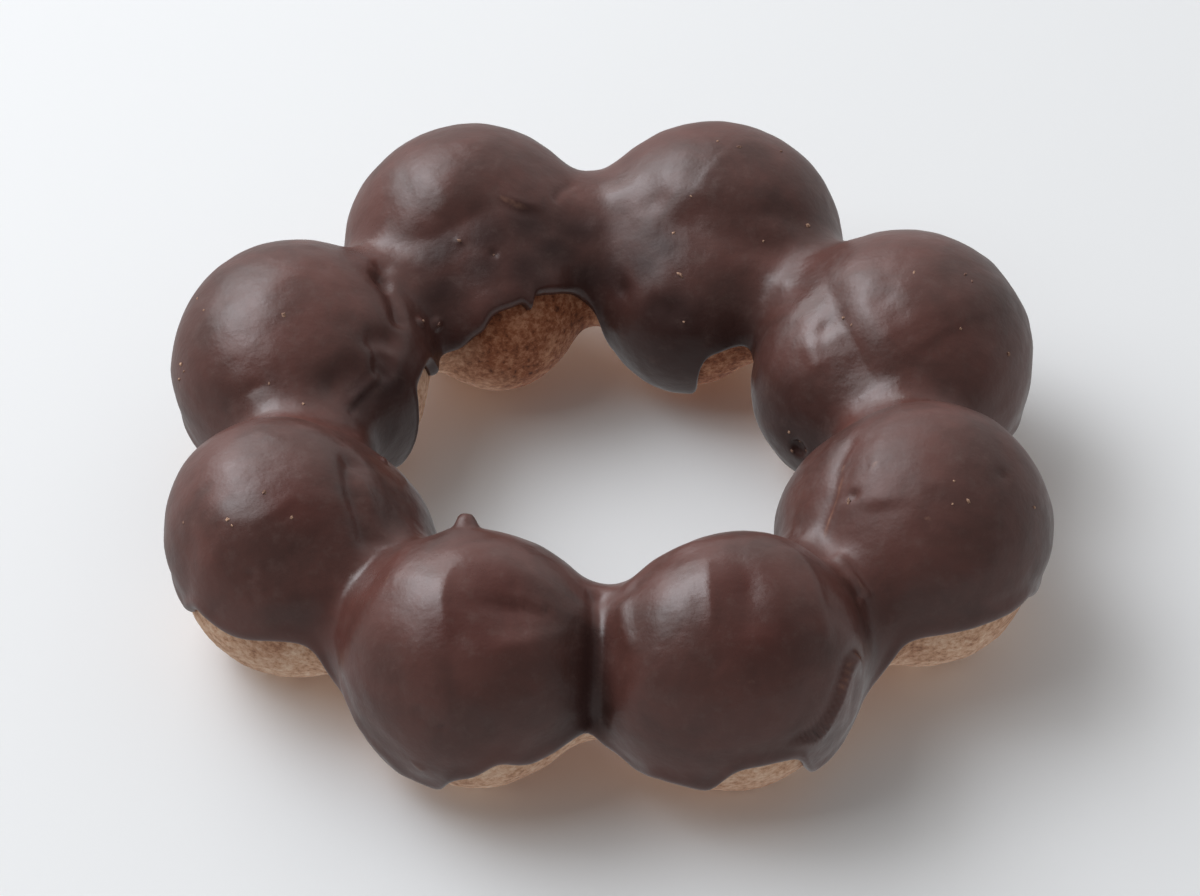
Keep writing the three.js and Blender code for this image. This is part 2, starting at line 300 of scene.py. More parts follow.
def relief(points, marks):
    """The height of all marks at each point. Steps and folds fade in along their lines' ends."""
    total = np.zeros(points.shape[1])
    for line, reach, fade, profile in marks:
        laid = smooth_skin(*np.radians(np.array(line, float)).T)
        middle = laid.mean(axis=1, keepdims=True)
        span = np.linalg.norm(laid - middle, axis=0).max() + reach
        near = np.linalg.norm(points - middle, axis=0) < span
        away, side, share = line_distance(points[:, near], line)
        height = profile(away, side)
        if fade:
            length = np.linalg.norm(np.diff(laid, axis=1), axis=0).sum()
            height *= eased(np.minimum(share, 1 - share) * length, -0.3, fade)
        total[near] += height
    return total


# Where a crown meets its shoulder a soft groove runs, and the crown's foot stands proud of it.
BACK_LEFT_FOOT = [(133, 79), (129, 93), (124, 98), (119.7, 98), (115, 97.5), (112.5, 96)]
BACK_RIGHT_FOOT = [(79.5, 102), (77, 110), (74, 113.5), (69, 113), (63.5, 110.5), (58.5, 107), (51.5, 93.5)]
RIGHT_UPPER_FOOT = [
    (43, 92), (35.7, 106), (26.6, 112.5), (19, 115), (14, 115), (10.5, 113.5), (7.5, 111), (5.5, 107.5),
]
DOUGH_MARKS = [
    press(BACK_LEFT_FOOT, 0.2, 1.5),
    foot(BACK_LEFT_FOOT, 0.4, 3.2, 0.35, 6.0),
    press(BACK_RIGHT_FOOT, 0.4, 1.8),
    foot(BACK_RIGHT_FOOT, 0.15, 4.0, 0.3, 7.0),
    foot(RIGHT_UPPER_FOOT, 0.6, 5.0, 0.45, 4.5),
    press([(-152, 98), (-147, 91), (-142.5, 87), (-138, 79)], 0.7, 1.3),
    press([(-24, 108), (-33, 105), (-40, 100), (-46, 86)], 0.4, 1.5),
    press([(-91.5, -10), (-91.3, 20), (-91.3, 60), (-91.5, 96)], 0.7, 0.9),
    # The three front balls' tops sank a little as they cooled, which cuts their highlights short.
    slump([(-110.4, 36), (-111.6, 42), (-113.2, 52), (-114.8, 61), (-115.7, 71), (-116.6, 80)], 1.8, 5.2),
    slump([(-74.9, 42), (-74.9, 50), (-73.7, 59.6), (-72.8, 70), (-72, 81), (-70, 94)], 0.95, 2.8),
    slump([(-154, 30), (-150.6, 37.5), (-147.5, 43), (-146.4, 55), (-147.5, 66), (-149, 76)], 0.8, 4.0, 0.15),
]
COAT_DEPTH, COAT_LOW_DEPTH = 1.3, 0.9
COAT_THINS_FROM, COAT_THINS_TO = 20, -30


def coat_depth(slant):
    """How deep the dough lies under the outer skin: the coat thins down the sides."""
    degrees = np.degrees(np.arcsin(np.sin(slant)))
    share = np.clip((degrees - COAT_THINS_TO) / (COAT_THINS_FROM - COAT_THINS_TO), 0, 1)
    return COAT_LOW_DEPTH + (COAT_DEPTH - COAT_LOW_DEPTH) * share


def stand_on_floor(points):
    """The feet are pressed flat, with a small round where they leave the floor."""
    x, y, z = points
    return np.array([x, y, (z + np.sqrt(z**2 + FOOT_ROUND**2)) / 2])


def place(points):
    """Points of the ring in metres, with its footprint centred on the origin."""
    return stand_on_floor(points) * MM + np.array(RING_CENTRE)[:, None] * MM


dough_mesh, turn, row = ring_mesh("fried_ring", DOUGH_COLUMNS, DOUGH_ROWS)
even = row / DOUGH_ROWS * FULL_TURN
slant = even + UNDERSIDE_CROWD * (1 - np.cos(even))
skin = smooth_skin(turn, slant)
outward = skin_normals(turn, skin)
crust = relief(skin, DOUGH_MARKS) - coat_depth(slant)
crust += CRUST_WAVE * waves(skin, CRUST_WAVE_SIZE, 1) + CRUST_GRAIN * waves(skin, CRUST_GRAIN_SIZE, 2)
write_points(dough_mesh, place(skin + outward * crust))

dough = put_in_scene("fried_ring", dough_mesh)
dough_mesh.polygons.foreach_set("use_smooth", [True] * len(dough_mesh.polygons))
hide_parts("dough")
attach(dough, "root")


def new_material(name):
    """A new material, its nodes, its links and its Principled shader."""
    material = bpy.data.materials.new(name)
    material.use_nodes = True
    nodes, links = material.node_tree.nodes, material.node_tree.links
    return material, nodes, links, nodes["Principled BSDF"]


def set_inputs(node, values):
    """Set a node's constant inputs by their names."""
    for socket, value in values.items():
        node.inputs[socket].default_value = value


def painted(nodes, name):
    """The mask that a mesh keeps under a name, as its factor socket."""
    node = nodes.new("ShaderNodeAttribute")
    node.attribute_name = name
    return node.outputs["Fac"]


def object_noise(nodes, links, scale, detail=3.0, roughness=0.55, distortion=0.0):
    """Noise on Object coordinates, as its factor socket."""
    place_node = nodes.new("ShaderNodeTexCoord")
    noise_node = nodes.new("ShaderNodeTexNoise")
    values = {"Scale": scale, "Detail": detail, "Roughness": roughness, "Distortion": distortion}
    set_inputs(noise_node, values)
    links.new(place_node.outputs["Object"], noise_node.inputs["Vector"])
    return noise_node.outputs["Fac"]


def ramp(nodes, links, source, stops):
    """A colour ramp through (place, colour) stops."""
    node = nodes.new("ShaderNodeValToRGB")
    elements = node.color_ramp.elements
    while len(elements) < len(stops):
        elements.new(0.5)
    for element, (at, colour) in zip(elements, stops):
        element.position = at
        element.color = (*colour, 1)
    links.new(source, node.inputs["Fac"])
    return node.outputs["Color"]


def grey(value):
    return (value,) * 3


def mix_colours(nodes, links, share, first, second):
    """The colour a share of the way from the first to the second; each is a socket or a value."""
    node = nodes.new("ShaderNodeMix")
    node.data_type = "RGBA"
    for socket, value in (("Factor", share), ("A", first), ("B", second)):
        target = [s for s in node.inputs if s.name == socket and s.enabled][0]
        if isinstance(value, bpy.types.NodeSocket):
            links.new(value, target)
        elif isinstance(value, (int, float)):
            target.default_value = value
        else:
            target.default_value = (*value, 1)
    return [s for s in node.outputs if s.enabled][0]


def attribute(mesh, name, values):
    """Keep one number for each vertex under a name that the material reads."""
    mesh.attributes.new(name, "FLOAT", "POINT").data.foreach_set("value", values.astype("f"))


def patch(turn, slant, places, spread):
    """A mask that is 1 at each (turn, slant) place and fades over a spread in degrees."""
    total = np.zeros(turn.shape)
    for at_turn, at_slant in places:
        around = (np.degrees(turn) - at_turn + 180) % 360 - 180
        over_it = (np.degrees(slant) - at_slant + 180) % 360 - 180
        total = np.maximum(total, np.exp(-(around**2 + (over_it / 2) ** 2) / spread**2))
    return total


# Darker, browner crust towards the hole at the back and on the floor side: part fry, part painted shade.
BROWNED_AND_SHADE_AT, BROWNED_AND_SHADE_SPREAD = [(112, 175), (60, 200), (100, 190)], 22
UNDERSIDE_FROM, UNDERSIDE_BROWNED_AND_SHADE = 0.75, 1.2
underside = UNDERSIDE_BROWNED_AND_SHADE * np.clip(-np.sin(slant) - UNDERSIDE_FROM, 0, 1)
attribute(dough_mesh, "browned_and_shade", patch(turn, slant, BROWNED_AND_SHADE_AT, BROWNED_AND_SHADE_SPREAD) + underside)

# The browner tones below also serve as painted shade where the ring shades itself.
PALE = {"dark": (0.38, 0.175, 0.1), "mid": (0.74, 0.44, 0.28), "light": (0.96, 0.71, 0.53)}
BROWNED_AND_SHADE = {"dark": (0.1, 0.026, 0.01), "mid": (0.36, 0.12, 0.052), "light": (0.66, 0.33, 0.19)}

fried, nodes, links, shader = new_material("fried crust")
grain = object_noise(nodes, links, 1500, 4, 0.72)
blotch = object_noise(nodes, links, 330, 3)
spots = mix_colours(nodes, links, 0.3, grain, blotch)
tones = [
    ramp(nodes, links, spots, [(0.34, tone["dark"]), (0.48, tone["mid"]), (0.64, tone["light"])])
    for tone in (PALE, BROWNED_AND_SHADE)
]
uneven = nodes.new("ShaderNodeMath")
uneven.operation = "MULTIPLY_ADD"
links.new(object_noise(nodes, links, 160, 2), uneven.inputs[0])
uneven.inputs[1].default_value = 0.9
# Painted shade, with browning, towards the hole at the back and on the floor side.
links.new(painted(nodes, "browned_and_shade"), uneven.inputs[2])
fried_share = ramp(nodes, links, uneven.outputs["Value"], [(0.4, grey(0)), (0.95, grey(1))])
crust_colour = mix_colours(nodes, links, fried_share, *tones)
links.new(crust_colour, shader.inputs["Base Color"])
shader.inputs["Roughness"].default_value = 0.72
shader.inputs["Specular IOR Level"].default_value = 0.35
bump = nodes.new("ShaderNodeBump")
set_inputs(bump, {"Strength": 0.9, "Distance": 0.3 * MM})
links.new(spots, bump.inputs["Height"])
links.new(bump.outputs["Normal"], shader.inputs["Normal"])
dough_mesh.materials.append(fried)


# ---- The coat of chocolate ----
# Dark chocolate that the ring was dipped in upside down. It set as one coat over the top and down
# both sides, thick and round at its wavy lower edges, with grooves, laps, nicks and a pulled tip
# where it ran together, and it left patches of dough bare.

# Faces round the ring, over the coat and under it, and how they crowd towards its edges. Then the
# round and the bead of an edge, the least thickness, how far it sinks into the crust, and its own
# waves, each a height, a size and a seed.
COAT_COLUMNS, COAT_ROWS_OVER, COAT_ROWS_UNDER = 640, 130, 22
CROWD, FOLLOW = 0.5, 2.5
EDGE_ROUND, COAT_THINNEST = 0.9, 0.45
BEAD_HEIGHT, INNER_BEAD_HEIGHT, BEAD_FROM_EDGE, BEAD_SPREAD = 0.25, 0.08, 1.3, 0.9
UNDER_OVERLAP = 0.05
COAT_WAVES = ((0.2, 9.0, 5), (0.12, 4.0, 6), (0.05, 1.6, 7))

# Where the edge rests, then runs of it that end higher or lower: turn, spread, steepness, lift.
OUTER_REST, INNER_REST, EDGE_WANDER = -36, 226, 3
OUTER_RUNS = [
    (-143.5, 9.3, 5, 31), (-101, 10.2, 10, 17), (-103.7, 2.5, 2, 8), (-88, 4, 4, -8), (-80.5, 4, 4, 10),
    (-69.5, 6.5, 6, 21), (-35, 11, 4, 30), (12, 6, 2, 10), (62, 8, 2, 14), (121, 7, 2, 17), (166, 7, 2, 9),
    (-160, 10, 4, 22), (-18, 9, 4, 20),
]
INNER_RUNS = [
    (153, 9, 6, -58), (137.5, 7.5, 4, -38), (111.5, 20, 8, -68), (113, 1.5, 2, 6),
    (53.5, 7.5, 4, -35), (73, 4, 2, 4), (-40, 8, 2, -12), (-130, 9, 2, -10),
]
WANDER_WAVES = ((5, 0.4), (11, 2.1), (17, 4.0))


def dent(line, depth, spread):
    """A shallow dish with a flat middle, or a blunt lump if its depth is negative."""
    return line, spread * 2, 0, lambda away, side: -depth * np.exp(-((away / spread) ** 4))


def crease(line, depth, spread):
    """A sharp fold, or a sharp ridge if its depth is negative."""
    return line, spread * 6, 1.5, lambda away, side: -depth * np.exp(-away / spread)


def step(line, height, soft, run):
    """A soft step, raised on the left of its line and lowered on its right."""
    def rise(away, side):
        signed = away * side
        return height * (2 * eased(signed, -soft, soft) - 1) * bell(signed, run)
    return line, run * 2.5, 4.0, rise


def lap(line, height, run):
    """The edge of a second layer, raised on the left of its line, with a dark step on the right."""
    def rise(away, side):
        signed = away * side
        raised = height * eased(signed, -0.25, 0.3) * np.exp(-np.maximum(signed, 0) / run)
        return raised - 0.3 * height * bell(signed + 0.6, 0.45)
    return line, run * 4, 3.0, rise


COAT_MARKS = [
    # Back left ball: the torn lip over its groove, two pits, the hollow beside it and two bumps.
    lap([(112.8, 93), (111.3, 95.5), (110, 98.6), (108.2, 101.6), (105.9, 101.4), (103, 102)], 0.5, 1.6),
    crease([(100.8, 95), (99.4, 87), (97.2, 78), (95.4, 71)], 0.35, 0.35),
    press([(123.9, 107.2)], -0.2, 0.3),
    press([(118.3, 124.5)], 0.3, 0.4),
    dent([(142.8, 98)], 0.55, 1.1),
    press([(139, 86), (145.6, 116), (149, 127)], 0.5, 0.9),
    dent([(142.2, 142)], -0.35, 0.5),
    dent([(137, 154)], -0.3, 0.6),
    # Back right ball: the second hollow over its groove, the lit corner beside it and two dimples.
    press([(70, 103), (61, 96), (53, 67)], 0.28, 1.3),
    press([(81, 110), (87, 86)], -0.2, 1.6),
    press([(85.4, 160)], 0.35, 0.8),
    press([(74, 163), (70, 163)], 0.3, 1.1),
    # Right upper ball: a fold down the crown's side, hollows and swells on the shoulder, and a pit.
    press([(20, 88), (15.7, 87), (12.8, 85)], 0.3, 1.5),
    press([(23.4, 122.6)], 0.3, 0.9),
    press([(21, 137), (17, 140)], -0.25, 0.9),
    press([(45.4, 120)], -0.25, 1.2),
    press([(12, 165), (11, 185)], 0.35, 2.2),
    dent([(10.3, 196)], 0.8, 0.75),
    # Right lower ball: the thin edge of a second layer, its rough lip, the lit ledge, its crater,
    # short cracks down the side and the swell along the groove.
    lap([(-19.5, 105), (-24, 108), (-28, 109), (-32.7, 105.4), (-36.3, 102.7), (-39.5, 103.5),
         (-42.6, 99.8)], 0.22, 0.9),
    crease([(-16, 90), (-21.3, 91), (-24.6, 91.5), (-27.8, 90), (-30, 85.6), (-32, 86.6)], -0.16, 0.3),
    step([(-36.8, 86), (-36.2, 75), (-35.1, 69), (-33.5, 64)], 0.28, 0.7, 2.4),
    dent([(-35.4, 90.4)], 0.4, 0.55),
    crease([(-35.6, 92), (-36, 100)], 0.25, 0.25),
    crease([(-32.3, 55), (-33.8, 54), (-34.5, 47)], 0.14, 0.35),
    crease([(-34.8, 42), (-33, 34.1)], 0.12, 0.3),
    crease([(-31.4, 31.1), (-28.8, 27.4)], 0.12, 0.3),
    crease([(-35.1, 29.6), (-32.9, 27)], 0.1, 0.3),
    press([(-21.6, 42.4)], 0.3, 0.45),
    press([(-10, -20), (-17, -14), (-24, -12)], 0.6, 2.6),
    press([(-44.2, 72), (-45.2, 54), (-45.6, 36)], -0.3, 0.6),
    crease([(-47, 33), (-48.3, 36), (-48, 39), (-46, 40)], 0.3, 0.3),
    dent([(-47.4, 34.5)], -0.25, 0.5),
    # Front right ball: cracks, the second layer that wraps it, and swells along its grooves.
    crease([(-75, 44.5), (-74.6, 41.6), (-73.1, 36)], 0.2, 0.25),
    crease([(-75.1, 29.4), (-74, 28.2), (-72.9, 26.4)], 0.18, 0.25),
    crease([(-70.6, 37.5), (-70.3, 31), (-70.2, 25), (-69.6, 19), (-68.9, 12.8)], 0.15, 0.3),
    press([(-56.9, 74), (-57, 62), (-58.1, 50), (-59.1, 39)], -0.22, 0.9),
    lap([(-53.4, 9), (-53.7, 18), (-55.3, 22.5), (-56.9, 20.5), (-58.1, 16), (-59.6, 9.4), (-60.9, 5),
         (-62.3, 0), (-63.6, -1), (-65.6, 0), (-67, -3)], 0.6, 2.0),
    press([(-85.6, 100), (-79.5, 112), (-73, 100)], -0.3, 1.2),
    press([(-87, 78), (-86.6, 54)], -0.3, 0.9),
    press([(-83, -24), (-79, -20)], -0.3, 1.6),
    # Front left ball: the pulled tip, the crease and ridges beside its highlight, pits and nicks.
    dent([(-122.2, 113.5)], -1.1, 0.95),
    press([(-122, 108)], -0.5, 1.9),
    crease([(-105.9, 78), (-103.7, 67), (-102.6, 57.7), (-101.4, 49)], 0.16, 0.35),
    crease([(-125, 52.5), (-126.9, 65)], -0.1, 0.3),
    crease([(-123.3, 53.2), (-125, 65.6)], -0.1, 0.3),
    press([(-113.6, 12.4)], 0.2, 0.6),
    press([(-110.7, 9.8)], 0.25, 0.35),
    crease([(-114.9, -14), (-113.7, -14), (-113.3, -21)], -0.3, 0.25),
    press([(-129, -12), (-123, -18), (-118, -26)], -0.25, 0.9),
    # Left lower ball: the bright ridge along its groove, the broad hollow under its highlight, a
    # swell beside it and the hollows and the crack lower down.
    crease([(-151.8, 98.6), (-147.9, 98.2), (-144.5, 97), (-141.5, 96)], -0.28, 0.4),
    press([(-146, 66), (-144, 76)], -0.15, 1.0),
    press([(-153, 20), (-152, 0)], 0.2, 1.4),
    press([(-149, 62), (-155, 66)], 0.45, 4.5),
    press([(-163, -12), (-156, -9), (-149, -9)], 0.6, 2.6),
    press([(-144.3, 25.9)], 0.22, 0.35),
    crease([(-144.3, 25.9), (-143.1, 18.7), (-141.9, 12.4)], 0.1, 0.3),
    dent([(-160, 135)], -0.3, 0.5),
    # Left upper ball: the hollows near the hole, the wrinkles beside them and two short creases.
    press([(159.6, 124), (157, 130)], 0.8, 1.3),
    dent([(163.3, 137.6)], 0.6, 1.3),
    press([(173.5, 109.5), (169.5, 119)], 0.6, 1.5),
    crease([(176, 128), (170, 136), (165, 141)], -0.15, 0.35),
    crease([(174, 125), (168, 132), (163, 138)], 0.15, 0.35),
    crease([(178.8, 131), (172.5, 140), (167.7, 143), (163.3, 145)], 0.25, 0.4),
    crease([(175.8, 40), (175.6, 48), (175.3, 57)], 0.25, 0.3),
    crease([(148.5, 68), (153, 80)], 0.15, 0.35),
]


def edge_slant(turn, rest, runs):
    """The slant at which the coat ends, at each turn."""
    degrees = np.degrees(turn)
    wander = sum(np.sin(count * turn + start) for count, start in WANDER_WAVES) / len(WANDER_WAVES)
    edge = rest + EDGE_WANDER * wander
    for at, spread, steep, lift in runs:
        around = np.abs((degrees - at + 180) % 360 - 180)
        edge = edge + lift * np.exp(-((around / spread) ** steep))
    return np.radians(edge)


def coat_slant(share, outer, inner):
    """The slant of a row: only the rows near an edge follow its waves."""
    outer_rest, inner_rest = math.radians(OUTER_REST), math.radians(INNER_REST)
    resting = outer_rest + (inner_rest - outer_rest) * share
    return resting + (outer - outer_rest) * (1 - share) ** FOLLOW + (inner - inner_rest) * share**FOLLOW


coat_rows = COAT_ROWS_OVER + COAT_ROWS_UNDER
coat_mesh, turn, loop = ring_mesh("chocolate", COAT_COLUMNS, coat_rows)
over = loop <= COAT_ROWS_OVER
even = np.where(over, loop / COAT_ROWS_OVER, (coat_rows - loop) / COAT_ROWS_UNDER)
share = np.where(over, even - CROWD * np.sin(FULL_TURN * even) / FULL_TURN, even)
outer = edge_slant(turn, OUTER_REST, OUTER_RUNS)
inner = edge_slant(turn, INNER_REST, INNER_RUNS)
slant = coat_slant(share, outer, inner)
skin = smooth_skin(turn, slant)
outward = skin_normals(turn, skin)

dough_form = relief(skin, DOUGH_MARKS)
crust = dough_form - coat_depth(slant) + CRUST_WAVE * waves(skin, CRUST_WAVE_SIZE, 1) - UNDER_OVERLAP
away = np.linalg.norm(skin - from_core(turn, slant, np.zeros_like(slant)), axis=0)
to_edge = np.minimum(slant - outer, inner - slant) * away
round_share = np.where(over, np.sqrt(1 - np.clip(1 - to_edge / EDGE_ROUND, 0, 1) ** 2), 0)
bead_height = np.where(slant - outer < inner - slant, BEAD_HEIGHT, INNER_BEAD_HEIGHT)
bead = bead_height * bell(to_edge - BEAD_FROM_EDGE, BEAD_SPREAD)
surface = dough_form + bead + relief(skin, COAT_MARKS)
surface += sum(height * waves(skin, size, seed) for height, size, seed in COAT_WAVES)
surface = np.maximum(surface, dough_form - coat_depth(slant) + COAT_THINNEST)
write_points(coat_mesh, place(skin + outward * (crust + (surface - crust) * round_share)))

coat = put_in_scene("chocolate", coat_mesh)
coat_mesh.polygons.foreach_set("use_smooth", [True] * len(coat_mesh.polygons))
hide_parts("chocolate_coat")
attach(coat, "root")

# Where the coat set glossier: the shoulder of the right upper ball, the valleys and small lit spots.
GLOSSY_SPREAD = 7
GLOSSY_AT = [
    (22, 128), (10, 125), (34, 122), (5, 90), (87, 85), (139, 55), (178, 45), (-87, 65), (-131, 50),
    (-117, 70), (-74, 72),
]
attribute(coat_mesh, "glossy", patch(turn, slant, GLOSSY_AT, GLOSSY_SPREAD))

# Where it set dull: the scuffed top of the right lower ball and parts of the back right ball's top.
DULL_SPREAD = 8
DULL_AT = [
    (-20, 60), (-24, 80), (-33, 72), (-38, 84), (-14, 75), (-28, 50), (-14, 45), (75, 60), (60, 70),
    (86, 118), (84, 128), (90, 108),
]
attribute(coat_mesh, "dull", patch(turn, slant, DULL_AT, DULL_SPREAD))

# Painted shade, in a darker red, beside the highlights of the three front balls and low at the left.
SHADED_RED_SPREAD = 6
SHADED_RED_AT = [
    (-109, 60), (-106, 62), (-108, 72), (-107, 50), (-112, 50), (-69, 66), (-69, 45), (-128, 10),
    (150, 20), (-147, 60),
]
attribute(coat_mesh, "shaded_red", patch(turn, slant, SHADED_RED_AT, SHADED_RED_SPREAD))

# Painted shade: the colour is darkened where the ring shades itself, on the hole side of the back balls and
# the left upper one, in the pinched valley at the front, and all the way down into the hole.
SHADE_SPREAD, PINCHED_SPREAD = 7, 3.5
SHADE_AT = [
    (128, 106), (118, 112), (108, 112), (122, 130), (112, 138), (103, 130), (96, 115), (132, 130),
    (80, 140), (76, 128), (70, 165), (88, 150), (94, 150), (165, 150), (172, 135),
]
PINCHED_AT = [(-92.5, up) for up in range(-10, 70, 5)]
TO_HOLE_FROM, TO_HOLE_FULL, TO_HOLE_SHADE = 140, 185, 0.9
shade_mask = patch(turn, slant, SHADE_AT, SHADE_SPREAD) + patch(turn, slant, PINCHED_AT, PINCHED_SPREAD)
shade_mask += TO_HOLE_SHADE * eased(np.degrees(slant), TO_HOLE_FROM, TO_HOLE_FULL)
attribute(coat_mesh, "painted_shade", shade_mask)

# Where it is scraped pale, along the edges of its layers and along its scratches.
SCRAPED_ALONG = [
    [(112.8, 93), (111.3, 95.5), (110, 98.6), (108.2, 101.6), (105.9, 101.4)],
    [(-28, 109), (-32.7, 105.4), (-36.3, 102.7), (-39.5, 103.5), (-42.6, 99.8)],
    [(-45.2, 54), (-45.6, 36)],
    [(-27.8, 90), (-30, 85.6), (-32, 86.6)],
    [(-15, 66), (-16, 61)],
    [(-32.3, 55), (-33.8, 54), (-34.5, 47)],
    [(-73.8, 31.1), (-69.5, 29.2)],
    [(-53.7, 18), (-55.3, 22.5), (-56.9, 20.5), (-58.1, 16), (-59.6, 9.4)],
    [(-125, 52.5), (-126.9, 65)],
    [(-114.9, -14), (-113.7, -14), (-113.3, -21)],
]
attribute(coat_mesh, "scraped", relief(skin, [crease(line, -1, 0.2) for line in SCRAPED_ALONG]))

CHOCOLATE_DEEP = (0.08, 0.0335, 0.027)
CHOCOLATE_BROWN = (0.128, 0.048, 0.0385)
# Painted shade: a darker red for places turned away from the light.
CHOCOLATE_SHADED_RED = (0.102, 0.029, 0.022)
# Painted shade: the darker tone for places the ring shades itself.
CHOCOLATE_SHADE = (0.055, 0.0265, 0.0235)
CHOCOLATE_BLOOM = (0.17, 0.11, 0.095)
CHOCOLATE_SCRAPED = (0.36, 0.19, 0.13)

chocolate, nodes, links, shader = new_material("dark chocolate")
cloud = object_noise(nodes, links, 130, 4, 0.6, 0.4)
mottle = object_noise(nodes, links, 620, 6, 0.7)
base = ramp(nodes, links, cloud, [(0.34, CHOCOLATE_DEEP), (0.62, CHOCOLATE_BROWN)])
# Painted shade in a darker red beside the front balls' highlights and low at the left.
base = mix_colours(nodes, links, painted(nodes, "shaded_red"), base, CHOCOLATE_SHADED_RED)
# Painted shade where the ring shades itself: the back balls' hole side, the pinched valley and the hole.
painted_shade = painted(nodes, "painted_shade")
base = mix_colours(nodes, links, painted_shade, base, CHOCOLATE_SHADE)
broken = nodes.new("ShaderNodeMath")
broken.operation = "MULTIPLY"
links.new(painted(nodes, "scraped"), broken.inputs[0])
links.new(object_noise(nodes, links, 900, 3, 0.7), broken.inputs[1])
scrape_share = ramp(nodes, links, broken.outputs["Value"], [(0.15, grey(0)), (0.5, grey(0.5))])
base = mix_colours(nodes, links, scrape_share, base, CHOCOLATE_SCRAPED)
bloom = ramp(nodes, links, mottle, [(0.52, grey(0)), (0.78, grey(0.3))])
base = mix_colours(nodes, links, bloom, base, CHOCOLATE_BLOOM)
links.new(base, shader.inputs["Base Color"])

# How rough it is: satin all over, smoother where it set glossy and rougher where it is scuffed.
SATIN, GLOSSY, SCUFFED = (0.29, 0.4), 0.23, 0.52
sheen = ramp(nodes, links, mottle, [(0.35, grey(SATIN[0])), (0.65, grey(SATIN[1]))])
sheen = mix_colours(nodes, links, painted(nodes, "glossy"), sheen, grey(GLOSSY))
sheen = mix_colours(nodes, links, painted(nodes, "dull"), sheen, grey(SCUFFED))
links.new(sheen, shader.inputs["Roughness"])

# The places with painted shade lie in the ring's own shade, so they shine less too.
SHINE, SHADED_SHINE = 0.5, 0.27
shine = mix_colours(nodes, links, painted_shade, grey(SHINE), grey(SHADED_SHINE))
links.new(shine, shader.inputs["Specular IOR Level"])

# Fine wrinkles that it drew into as it set, over a soft orange-peel and under a faint grain. Each
# is a height, its strength and its depth.
coat_place = nodes.new("ShaderNodeTexCoord")
stretched = nodes.new("ShaderNodeMapping")
set_inputs(stretched, {"Rotation": (0.3, 0.5, 0.7), "Scale": (0.25, 1.6, 0.8)})
wrinkle_noise = nodes.new("ShaderNodeTexNoise")
set_inputs(wrinkle_noise, {"Scale": 1300, "Detail": 3})
links.new(coat_place.outputs["Object"], stretched.inputs["Vector"])
links.new(stretched.outputs["Vector"], wrinkle_noise.inputs["Vector"])
normal = None
for height, strength, distance in (
    (object_noise(nodes, links, 420, 3), 0.5, 0.2 * MM),
    (wrinkle_noise.outputs["Fac"], 0.35, 0.04 * MM),
    (object_noise(nodes, links, 2600, 3), 0.4, 0.03 * MM),
):
    bump = nodes.new("ShaderNodeBump")
    set_inputs(bump, {"Strength": strength, "Distance": distance})
    links.new(height, bump.inputs["Height"])
    if normal:
        links.new(normal, bump.inputs["Normal"])
    normal = bump.outputs["Normal"]
links.new(normal, shader.inputs["Normal"])
coat_mesh.materials.append(chocolate)


# ---- The crumbs ----
# Loose crumbs of fried dough and flakes of chocolate that fell on the coat while it was soft and
# set half sunk in it. They are uneven grains of two to five tenths of a millimetre, here as one
# piece, with one (turn, slant) for each.

CRUMBS_AT = [
    (72.1, 96.4), (74.4, 118.1), (51.7, 61.1), (55.3, 97.9), (67.4, 64.5), (71.1, 64.9), (62.1, 49.9),
    (69.4, 142.9), (65, 167.6), (21.2, 50.6), (19.9, 48.7), (12.3, 54.7), (11.4, 26.2), (23.1, 71.2),
    (22.6, 112.1), (19.6, 110.2), (12.9, 186.7), (10.3, 192), (8.6, 197), (12.1, 199), (163.3, 32.6),
    (160, 26.6), (168.3, 15), (169.5, 15.4), (169.2, 9.4), (175.3, 57.7), (179.1, 83.6), (164.7, 69.4),
    (-156.6, 24.4), (-150.6, 38.6), (-149.6, 38.2), (-144.9, 55.5), (-150.3, 54.7), (-30.3, 49.9),
    (-28.5, 46.5), (-27.5, 55.1), (-20.7, 25.1), (-36.4, 91.5), (-35.2, 92.4), (123.9, 107.2),
    (118.3, 124.5), (142.2, 142), (137, 154),
]
CRUMB_SIZES = (0.1, 0.13, 0.2, 0.11, 0.16)
CRUMB_SQUASH = ((1.3, 0.8, 0.7), (0.9, 1.5, 0.6), (1.1, 1.0, 0.8))
CRUMB_TWIST, CRUMB_LUMPS, CRUMB_LUMP_SIZE = 2.4, 0.7, 1.3

crumb_turn, crumb_slant = np.radians(CRUMBS_AT).T
skin = smooth_skin(crumb_turn, crumb_slant)
outward = skin_normals(crumb_turn, skin)
height = relief(skin, DOUGH_MARKS) + relief(skin, COAT_MARKS)
height += sum(rise * waves(skin, size, seed) for rise, size, seed in COAT_WAVES)
lies = place(skin + outward * height).T

bm = bmesh.new()
for number, (spot, up) in enumerate(zip(lies, outward.T)):
    spot = Vector(spot)
    size = CRUMB_SIZES[number % len(CRUMB_SIZES)] * MM
    squash = Matrix.Diagonal((*CRUMB_SQUASH[number % len(CRUMB_SQUASH)], 1))
    upright = Vector(up).to_track_quat("Z", "Y").to_matrix().to_4x4()
    turned = upright @ Matrix.Rotation(number * CRUMB_TWIST, 4, "Z")
    made = bmesh.ops.create_icosphere(
        bm, subdivisions=2, radius=size, matrix=Matrix.Translation(spot) @ turned @ squash,
    )
    for vert in made["verts"]:
        offset = vert.co - spot
        lumps = noise.noise(offset / size * CRUMB_LUMP_SIZE + Vector((number * 3.1, 0, 0)))
        vert.co += offset * CRUMB_LUMPS * lumps
crumb_mesh = finished_mesh(bm, "crumbs")
crumbs = put_in_scene("crumbs", crumb_mesh)
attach(crumbs, "root")

